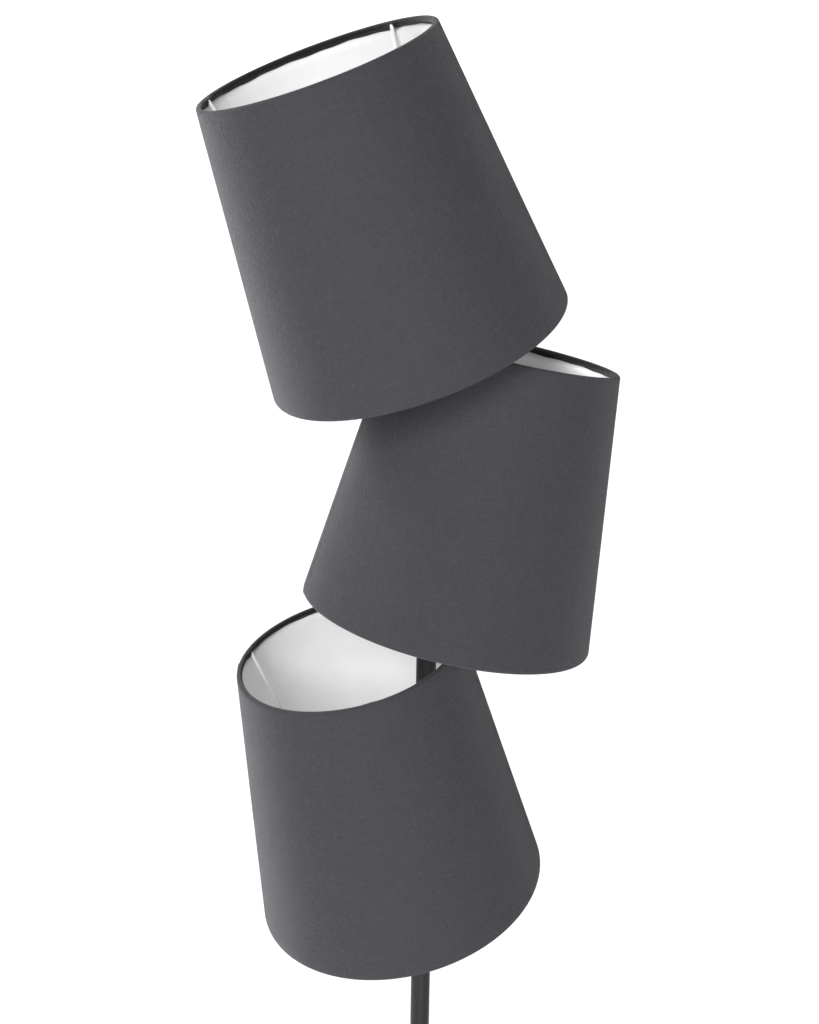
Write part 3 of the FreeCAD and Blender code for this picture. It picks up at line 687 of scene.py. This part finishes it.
def mark_turned_in(bm):
    """Writes on each vertex how far the cloth has turned in, from 0 to 1."""
    path = bm.verts.layers.float["path"]
    hem_press_and_seam_shadow = bm.verts.layers.float.new("hem_press_and_seam_shadow")
    for vert in bm.verts:
        beyond = max(vert[path] - WALL_END, WALL_FROM - vert[path])
        vert[hem_press_and_seam_shadow] = max(0.0, min(1.0, (beyond - TURN_FROM) / TURN_OVER))


print("cloth is darker from", TURN_FROM * 1000, "mm past the wall")

# %% [markdown]
# Nothing rolled by hand is a perfect cone. The wall swells and dips by a third of a millimetre
# between the rings, and the cut edges wander a little. The lining follows the same swell, so the
# two sheets never meet.

# %% Uneven walls and cut edges
WALL_SWELL = 0.0003
SWELL_PHASE = {"upper": 0.0, "middle": 1.7, "lower": 3.4}          # so that no shade is like another
EDGE_WANDER = 0.00035
WANDER_REACH = TUCK_LENGTH * 0.8  # from the cut edge, along the sheet


def swell(co, phase):
    """How far the wall stands out at a point, from a few slow waves."""
    turn = math.atan2(co.y, co.x)
    rise = max(0.0, min(1.0, co.z / RING_RISE))
    waves = math.sin(2 * turn + phase) + 0.6 * math.sin(5 * turn - 2 * phase + 3 * rise)
    return WALL_SWELL * math.sin(math.pi * rise) * waves / 1.6


def swell_walls(bm, phase):
    """Moves each vertex out from the axis by the swell."""
    for vert in bm.verts:
        outward = Vector((vert.co.x, vert.co.y, 0)).normalized()
        vert.co += outward * swell(vert.co, phase)


def let_edges_wander(bm, phase, line_length):
    """Moves both cut edges along the sheet, by 9 long waves and 23 short ones round the rim."""
    path = bm.verts.layers.float["path"]
    for vert in bm.verts:
        turn = math.atan2(vert.co.y, vert.co.x)
        wander = math.sin(9 * turn + phase) + 0.7 * math.sin(23 * turn + 3 * phase)
        for edge, way in ((0.0, -1), (line_length, 1)):
            nearness = max(0.0, 1 - abs(vert[path] - edge) / WANDER_REACH)
            vert.co.z += way * EDGE_WANDER * nearness * wander


print("wall swell", WALL_SWELL * 1000, "mm")

# %% A finished mesh becomes a piece of the lamp


def make_piece(name, bm, place, body, material, replaced=(), crease=35.0):
    """Puts a mesh in its place, riding on a body. Edges over the crease, in degrees, stay sharp."""
    mesh = bpy.data.meshes.new(name)
    bm.to_mesh(mesh)
    bm.free()
    mesh.transform(place)
    mesh.shade_smooth()
    mesh.set_sharp_from_angle(angle=math.radians(crease))
    mesh.materials.append(material)
    piece = bpy.data.objects.new(name, mesh)
    bpy.context.scene.collection.objects.link(piece)
    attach(piece, body)
    if replaced:
        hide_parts(*replaced)
    return piece


def thicken(piece, thickness):
    """Gives a sheet its thickness, half to each side of its middle line."""
    wall = piece.modifiers.new("thickness", "SOLIDIFY")
    wall.thickness = thickness
    wall.offset = 0
    wall.use_even_offset = True
    return piece


print("pieces can be made")

# %% [markdown]
# The real sheet is cut flat as a fan: the cone unrolled, with a strip at each curved edge for the
# hem. Its size follows from the cone.

# %% Make the three covers
for name in HEAD_NAMES:
    bm = spun_sheet(sheet_line, SEAM_ANGLE[name])
    for wire in range(SPIDER_WIRES):
        lift_over_wire(bm, wire_turn(name, wire), LINE_LENGTH)
    swell_walls(bm, SWELL_PHASE[name])
    let_edges_wander(bm, SWELL_PHASE[name], LINE_LENGTH)
    lay_flat(bm, SEAM_ANGLE[name], WALL_FROM)
    mark_turned_in(bm)
    faces = len(bm.faces)
    cover = make_piece(name + "_cover_cloth", bm, HEAD_PLACES[name], name + "_head",
                       charcoal, [name + "_shade_cover"])
    thicken(cover, CLOTH_T)
    print(cover.name, faces, "faces")

# %% Make the three linings
LINER_T = 0.0005
LINER_OUT = 0.0014              # from the rings' line out to the middle of the film
LINER_INSET = 0.0035            # the film ends this far short of each ring

lining_line = [(LINER_INSET + (WALL_SPAN - 2 * LINER_INSET) * i / WALL_STEPS, LINER_OUT)
               for i in range(WALL_STEPS + 1)]
for name in HEAD_NAMES:
    bm = spun_sheet(lining_line, SEAM_ANGLE[name])
    swell_walls(bm, SWELL_PHASE[name])
    lining = make_piece(name + "_lining_film", bm, HEAD_PLACES[name], name + "_head",
                        film, [name + "_shade_liner"])
    thicken(lining, LINER_T)
print("three linings", LINER_T * 1000, "mm thick")

# %% [markdown]
# ## The lap at the back
#
# The sheet's two ends overlap behind the shade, where the upper end is glued over the lower one.
# The end stands up by the sheet's own thickness along one straight line from hem to hem, and a
# shadow painted along it makes the line dark.

# %% The lap of each cover and lining
LAP_W = 0.013
LAP_SINK = 0.0006               # how far the hidden side of the lap dips into the sheet
LAP_STEPS = 10
LAP_LIFT = 0.9                  # shares of the sheet's thickness, so that the two touch
LAP_ROUND = (0.7, 0.72)         # shares of the hem's radius, past the ring and out from it
LINING_LAP_TURN = 4.0           # degrees, from the cover's seam to the lining's


def lap_strip(line, lift, seam_angle):
    """A sheet's line spun over the lap's width. It dips into the sheet at its hidden side."""
    sweep = LAP_W / BOTTOM_RING_R
    bm = spun_sheet(line, seam_angle, sweep, LAP_STEPS)
    seam_shadow = bm.verts.layers.float.new("hem_press_and_seam_shadow")
    for vert in bm.verts:
        turned = math.atan2(vert.co.y, vert.co.x) - math.radians(seam_angle) + math.pi
        share = max(0.0, (turned % (2 * math.pi) - math.pi) / sweep)
        # The lap's raised edge is darkened here: a painted shadow along the step.
        vert[seam_shadow] = max(0.0, 1 - share * LAP_STEPS)
        outward = Vector((vert.co.x, vert.co.y, 0)).normalized()
        vert.co += outward * lift * (1 - share * share * (1 + LAP_SINK / abs(lift)))
    return bm


def strip_flat(bm):
    """Flat coordinates for a narrow strip: round the shade, and up it."""
    flat = bm.loops.layers.uv.new("cloth")
    for face in bm.faces:
        for loop in face.loops:
            x, y, z = loop.vert.co
            loop[flat].uv = (math.atan2(y, x) * BOTTOM_RING_R, z)


hem_past, hem_out = HEM_R * LAP_ROUND[0], WALL_OUT * LAP_ROUND[1]
wall_line = [(WALL_SPAN * i / WALL_STEPS, WALL_OUT) for i in range(WALL_STEPS + 1)]
cover_lap_line = [(-hem_past, hem_out)] + wall_line + [(WALL_SPAN + hem_past, hem_out)]
for name in HEAD_NAMES:
    bm = lap_strip(cover_lap_line, CLOTH_T * LAP_LIFT, SEAM_ANGLE[name])
    swell_walls(bm, SWELL_PHASE[name])
    strip_flat(bm)
    lap = make_piece(name + "_cover_lap", bm, HEAD_PLACES[name], name + "_head",
                     charcoal)
    thicken(lap, CLOTH_T)
    bm = lap_strip(lining_line, -LINER_T * LAP_LIFT, SEAM_ANGLE[name] + LINING_LAP_TURN)
    swell_walls(bm, SWELL_PHASE[name])
    lap = make_piece(name + "_lining_lap", bm, HEAD_PLACES[name], name + "_head",
                     film)
    thicken(lap, LINER_T)
print("laps", LAP_W * 1000, "mm wide")

# %% [markdown]
# ## Turned and moulded pieces
#
# The lampholders, their caps and the felt foot are turned shapes. Real edges are never sharp, so a
# section is drawn by its corners, and every corner is rounded before the section is spun.

# %% Spin a section with rounded corners
ON_AXIS = 1e-6                  # a point this near the axis lies on it
SAME_POINT = 1e-7


def soften(corners, radius, steps=3):
    """Rounds each corner of a closed outline of (radius, height) points, except on the axis."""
    line = []
    count = len(corners)
    for i, corner in enumerate(corners):
        here = Vector(corner)
        before = Vector(corners[i - 1]) - here
        after = Vector(corners[(i + 1) % count]) - here
        cut = min(radius, 0.45 * before.length, 0.45 * after.length)
        if here.x < ON_AXIS or cut < ON_AXIS:
            line.append(here)
            continue
        start = here + before.normalized() * cut
        end = here + after.normalized() * cut
        for step in range(steps + 1):
            share = step / steps
            line.append(start * (1 - share) ** 2 + here * 2 * share * (1 - share)
                        + end * share ** 2)
    return line


def spun_solid(corners, radius, steps=96):
    """A closed solid of revolution about Z."""
    bm = bmesh.new()
    verts = [bm.verts.new((point.x, 0, point.y)) for point in soften(corners, radius)]
    for i, vert in enumerate(verts):
        if vert.co.x > ON_AXIS or verts[i - 1].co.x > ON_AXIS:
            bm.edges.new((verts[i - 1], vert))
    bmesh.ops.spin(bm, geom=bm.verts[:] + bm.edges[:], cent=(0, 0, 0), axis=(0, 0, 1),
                   angle=2 * math.pi, steps=steps, use_merge=True)
    bmesh.ops.remove_doubles(bm, verts=bm.verts, dist=SAME_POINT)
    bmesh.ops.recalc_face_normals(bm, faces=bm.faces)
    return bm


print("sections can be spun")

# %% [markdown]
# ## The lampholders
#
# A lampholder of moulded plastic stands in each shade. Its skirt has a coarse outer thread, the
# spider's hub lies on its flange, and a ring nut on the thread clamps the hub. The ribbed cap below
# it takes the bent arm. The ring nut's box gives the hub's place, and heights are measured from the
# hub's middle.

# %% The lampholder bodies
NUT_T = 0.006
HUB_T = 0.003
SCREW_CREST_R = 0.014
SCREW_ROOT_R = 0.0132
SCREW_PITCH = 0.0025
SCREW_STEPS = 64                # in one turn of the thread
CREST_HALF_W = 0.00022
CREST_ROUND = 0.00015
FOOT_HALF_W = 0.0006            # half the ridge's width at its foot
FOOT_SINK = 0.0003              # how far the ridge's foot lies in the skirt
MOUTH = 0.008
FLANGE_R = 0.018
FLANGE_T = 0.0022
BODY_R = 0.0135
BODY_FOOT = -0.0237
SPIGOT_R = 0.0119
SPIGOT_FOOT = -0.0357
BORE_R = 0.008
BORE_FOOT = -0.021
HOLDER_CORNER = 0.0005


def at_hub(name):
    """The matrix from a hub's own axes to the lamp."""
    place = HEAD_PLACES[name]
    nut_middle = place.inverted() @ ring_middle(name + "_shade_nut")
    return place @ Matrix.Translation((0, 0, nut_middle.z - (HUB_T + NUT_T) / 2))


def thread_ridge():
    """The raised helix of the skirt's thread, from the hub to the mouth."""
    bm = bmesh.new()
    turns = (MOUTH - HUB_T - 2 * FOOT_HALF_W) / SCREW_PITCH
    steps = int(SCREW_STEPS * turns)
    low = HUB_T / 2 + FOOT_HALF_W
    foot_r = SCREW_ROOT_R - FOOT_SINK
    side_r = SCREW_CREST_R - CREST_ROUND
    section = [(foot_r, FOOT_HALF_W), (side_r, CREST_HALF_W), (SCREW_CREST_R, 0.0),
               (side_r, -CREST_HALF_W), (foot_r, -FOOT_HALF_W)]
    verts = [bm.verts.new((r, 0, low + z)) for r, z in section]
    for i, vert in enumerate(verts):
        bm.edges.new((verts[i - 1], vert))
    bm.faces.new(verts)
    bmesh.ops.spin(bm, geom=bm.verts[:] + bm.edges[:] + bm.faces[:], cent=(0, 0, 0),
                   axis=(0, 0, 1), dvec=(0, 0, turns * SCREW_PITCH / steps),
                   angle=2 * math.pi * turns, steps=steps)
    bmesh.ops.recalc_face_normals(bm, faces=bm.faces)
    return bm


def joined(*meshes):
    """Puts several bmeshes into one."""
    whole = bmesh.new()
    for part in meshes:
        mesh = bpy.data.meshes.new("part")
        part.to_mesh(mesh)
        part.free()
        whole.from_mesh(mesh)
        bpy.data.meshes.remove(mesh)
    return whole


flange_top = -HUB_T / 2
flange_low = flange_top - FLANGE_T
holder_corners = [(BORE_R, MOUTH), (SCREW_ROOT_R, MOUTH), (SCREW_ROOT_R, flange_top),
                  (FLANGE_R, flange_top), (FLANGE_R, flange_low), (BODY_R, flange_low),
                  (BODY_R, BODY_FOOT), (SPIGOT_R, BODY_FOOT), (SPIGOT_R, SPIGOT_FOOT),
                  (0, SPIGOT_FOOT), (0, BORE_FOOT), (BORE_R, BORE_FOOT)]


def at_each_hub(part, node, make_mesh):
    """Makes a plastic piece at each hub, in the place of a node of the frame."""
    for name in HEAD_NAMES:
        make_piece(name + part, make_mesh(), at_hub(name), name + "_head",
                   moulded, [name + node])


def lampholder():
    """The turned body with the ridge of its thread."""
    return joined(spun_solid(holder_corners, HOLDER_CORNER), thread_ridge())


at_each_hub("_lampholder", "_holder_body", lampholder)
print("three lampholders")

# %% The ribbed caps under them
CAP_R = 0.0142
CAP_TOP = -0.024
CAP_SHOULDER = -0.0425
CAP_DOME_FOOT = -0.048
CAP_FOOT = -0.053
CAP_NECK_R = 0.0075
CAP_CAVITY_R = 0.0122
CAP_HOLE_R = 0.00505
CAP_DOME_R = CAP_R - 0.0022
CAP_FLOOR_T = 0.002
CAP_CORNER = 0.0016
CAP_RIBS = 28
RIB_SIZE = Vector((0.0011, 0.0011, 0.0150))
RIB_MIDDLE = Vector((CAP_R - 0.0003, 0, -0.0345))
RIB_EDGE = 0.00024

cap_corners = [(CAP_CAVITY_R, CAP_TOP), (CAP_R, CAP_TOP), (CAP_R, CAP_SHOULDER),
               (CAP_DOME_R, CAP_DOME_FOOT), (CAP_NECK_R, CAP_DOME_FOOT), (CAP_NECK_R, CAP_FOOT),
               (CAP_HOLE_R, CAP_FOOT), (CAP_HOLE_R, CAP_DOME_FOOT + CAP_FLOOR_T),
               (CAP_CAVITY_R, CAP_SHOULDER)]


def ribs():
    """Fine upright ribs round the cap, made as one and copied round the axis."""
    bm = bmesh.new()
    bmesh.ops.create_cube(bm, size=1.0)
    for vert in bm.verts:
        vert.co = RIB_MIDDLE + vert.co * RIB_SIZE
    bmesh.ops.bevel(bm, geom=bm.edges[:], offset=RIB_EDGE, segments=2, affect="EDGES",
                    profile=0.5, material=-1)
    bmesh.ops.spin(bm, geom=bm.verts[:] + bm.edges[:] + bm.faces[:], cent=(0, 0, 0),
                   axis=(0, 0, 1), angle=2 * math.pi * (1 - 1 / CAP_RIBS), steps=CAP_RIBS - 1,
                   use_duplicate=True)
    return bm


def ribbed_cap():
    """The hollow turned cap with its ribs."""
    return joined(spun_solid(cap_corners, CAP_CORNER), ribs())


at_each_hub("_ribbed_cap", "_holder_cap", ribbed_cap)
print("three caps with", CAP_RIBS, "ribs")

# %% The ring nuts
NUT_R = 0.0195
NUT_BORE_R = 0.01415
NUT_GRIPS = 14
GRIP_R = 0.0017
GRIP_DEPTH = 0.00085
NUT_SIDES = NUT_GRIPS * 12
NUT_EDGE = 0.0005


def nut_outline(turn):
    """The radius of the nut at an angle, less where a finger grip is cut into it."""
    step = 2 * math.pi / NUT_GRIPS
    off = (turn + step / 2) % step - step / 2
    centre = NUT_R + GRIP_R - GRIP_DEPTH
    across = abs(centre * math.sin(off))
    if across >= GRIP_R:
        return NUT_R
    return min(NUT_R, centre * math.cos(off) - math.sqrt(GRIP_R ** 2 - across ** 2))


def ring_nut():
    """A flat ring with finger grips, whose long edges are rounded."""
    bm = bmesh.new()
    bmesh.ops.create_circle(bm, segments=NUT_SIDES, radius=NUT_BORE_R)
    bmesh.ops.create_circle(bm, segments=NUT_SIDES, radius=NUT_R)
    for vert in bm.verts:
        turn = math.atan2(vert.co.y, vert.co.x)
        if vert.co.length > (NUT_R + NUT_BORE_R) / 2:
            vert.co = Vector((math.cos(turn), math.sin(turn), 0)) * nut_outline(turn)
        vert.co.z = HUB_T / 2
    bmesh.ops.bridge_loops(bm, edges=bm.edges)
    raised = bmesh.ops.extrude_face_region(bm, geom=bm.faces[:])
    bmesh.ops.translate(bm, vec=(0, 0, NUT_T),
                        verts=[v for v in raised["geom"] if isinstance(v, bmesh.types.BMVert)])
    bmesh.ops.recalc_face_normals(bm, faces=bm.faces)
    rims = [edge for edge in bm.edges if edge.calc_face_angle(0) > 1
            and abs(edge.verts[0].co.z - edge.verts[1].co.z) < SAME_POINT]
    bmesh.ops.bevel(bm, geom=rims, offset=NUT_EDGE, segments=3, affect="EDGES", profile=0.5,
                    material=-1)
    return bm


at_each_hub("_ring_nut", "_shade_nut", ring_nut)
print("three ring nuts with", NUT_GRIPS, "grips")

# %% [markdown]
# ## Welds
#
# Each wire of a spider is spot-welded to the top ring and to the hub. A spot weld is a small
# smooth swelling in the corner between the two, under the paint.

# %% Weld spots
HUB_WELD_R = 0.0193
WELD_DROP = 0.0004              # under the middle of the top ring's wire
RING_WELD_SIZE = Vector((0.0011, 0.0024, 0.0019))
HUB_WELD_SIZE = Vector((0.0021, 0.0023, 0.0015))
WELD_LUMPS = 0.12               # shares of the size


def weld_spot(middle, size):
    """A lumpy ball, given half its size along each axis."""
    bm = bmesh.new()
    bmesh.ops.create_icosphere(bm, subdivisions=2, radius=1.0)
    for vert in bm.verts:
        waves = math.sin(5 * vert.co.x + 3 * vert.co.z) * math.cos(4 * vert.co.y)
        vert.co = middle + vert.co * size * (1 + WELD_LUMPS * waves)
    return bm


for name in HEAD_NAMES:
    spots = []
    to_hub = (HEAD_PLACES[name].inverted() @ at_hub(name)).translation.z
    for wire in range(SPIDER_WIRES):
        ring_spot = weld_spot(Vector((TOP_RING_R - RING_WIRE_R, 0, RING_RISE - WELD_DROP)),
                              RING_WELD_SIZE)
        hub_spot = weld_spot(Vector((HUB_WELD_R, 0, to_hub)), HUB_WELD_SIZE)
        for spot in (ring_spot, hub_spot):
            spot.transform(Matrix.Rotation(wire_turn(name, wire), 4, "Z"))
            spots.append(spot)
    make_piece(name + "_weld_spots", joined(*spots), HEAD_PLACES[name], name + "_head",
               white_coat, crease=80.0)
print(2 * SPIDER_WIRES, "weld spots on each spider")

# %% [markdown]
# ## The foot of felt
#
# A disc of pressed felt under the base keeps it from scratching the floor. Its cut edge is soft
# and a little uneven.

# %% The felt foot
FELT_R = 0.139
FELT_T = 0.0025
FELT_CORNER = 0.0011
FRAY_IN = 0.0004
FRAY_WAVES = ((37, 0, 0.00025), (83, 1, 0.0002))         # waves round the edge, phase, size

felt_corners = [(0, FELT_T), (FELT_R, FELT_T), (FELT_R, 0), (0, 0)]
bm = spun_solid(felt_corners, FELT_CORNER, steps=180)
for vert in bm.verts:
    reach = math.hypot(vert.co.x, vert.co.y)
    if reach > FELT_R / 2:
        turn = math.atan2(vert.co.y, vert.co.x)
        fray = sum(size * math.sin(count * turn + phase) for count, phase, size in FRAY_WAVES)
        fray -= FRAY_IN
        vert.co += Vector((math.cos(turn), math.sin(turn), 0)) * fray
make_piece("felt_foot", bm, Matrix(), "stand", felt, ["base_pad"])
print("felt foot", FELT_R * 2000, "mm across")

# %% [markdown]
# ## Finishes of the frame's own pieces
#
# The other pieces have their right shape already and only take a finish. The frame names each old
# material by what the piece is made of, so the finish follows that name.

# %% Finishes by slot
FINISHES = {"white_paint": white_coat, "black_paint": black_coat, "black_plastic": moulded,
            "brass": brass, "zinc_steel": zinc, "cast_iron": iron, "black_rubber": rubber,
            "bulb_metal": nickel, "opal_glass": opal}
dressed = 0
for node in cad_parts.values():
    for surface in node.material_slots:
        finish = FINISHES.get(surface.material.name.split(".")[0])
        if finish:
            surface.material = finish
            dressed += 1
print(dressed, "pieces dressed")

# %% The floor
FLOOR_REACH = 30.0
FLOOR_FADE = (0.25, 1.05)       # from the pole, where the floor turns into plain white
FLOOR_GLOW = (0.35, 1.0)        # the share of plain white at those two distances
FLOOR_WHITE = 1.15

floor_mesh = bpy.data.meshes.new("floor")
bm = bmesh.new()
bmesh.ops.create_grid(bm, x_segments=1, y_segments=1, size=FLOOR_REACH)
bm.to_mesh(floor_mesh)
bm.free()
floor = bpy.data.objects.new("floor", floor_mesh)
floor_paint, tree, shader = new_material("white_floor", base_color=(0.93, 0.93, 0.93, 1),
                                         roughness=0.8)
glow = tree.nodes.new("ShaderNodeEmission")
from_pole = tree.nodes.new("ShaderNodeVectorMath")
from_pole.operation = "LENGTH"
tree.links.new(object_place(tree), from_pole.inputs[0])
fade = tree.nodes.new("ShaderNodeMapRange")
fade.inputs["From Min"].default_value, fade.inputs["From Max"].default_value = FLOOR_FADE
fade.inputs["To Min"].default_value, fade.inputs["To Max"].default_value = FLOOR_GLOW
tree.links.new(from_pole.outputs["Value"], fade.inputs["Value"])
seen = tree.nodes.new("ShaderNodeLightPath")
share = calc(tree, "MULTIPLY", fade.outputs[0], seen.outputs["Is Camera Ray"])
glow.inputs["Strength"].default_value = FLOOR_WHITE
blend = tree.nodes.new("ShaderNodeMixShader")
tree.links.new(share, blend.inputs[0])
tree.links.new(tree.nodes["Principled BSDF"].outputs[0], blend.inputs[1])
tree.links.new(glow.outputs[0], blend.inputs[2])
tree.links.new(blend.outputs[0], tree.nodes["Material Output"].inputs["Surface"])
floor_mesh.materials.append(floor_paint)
bpy.context.scene.collection.objects.link(floor)
print("floor", FLOOR_REACH * 2, "m across")
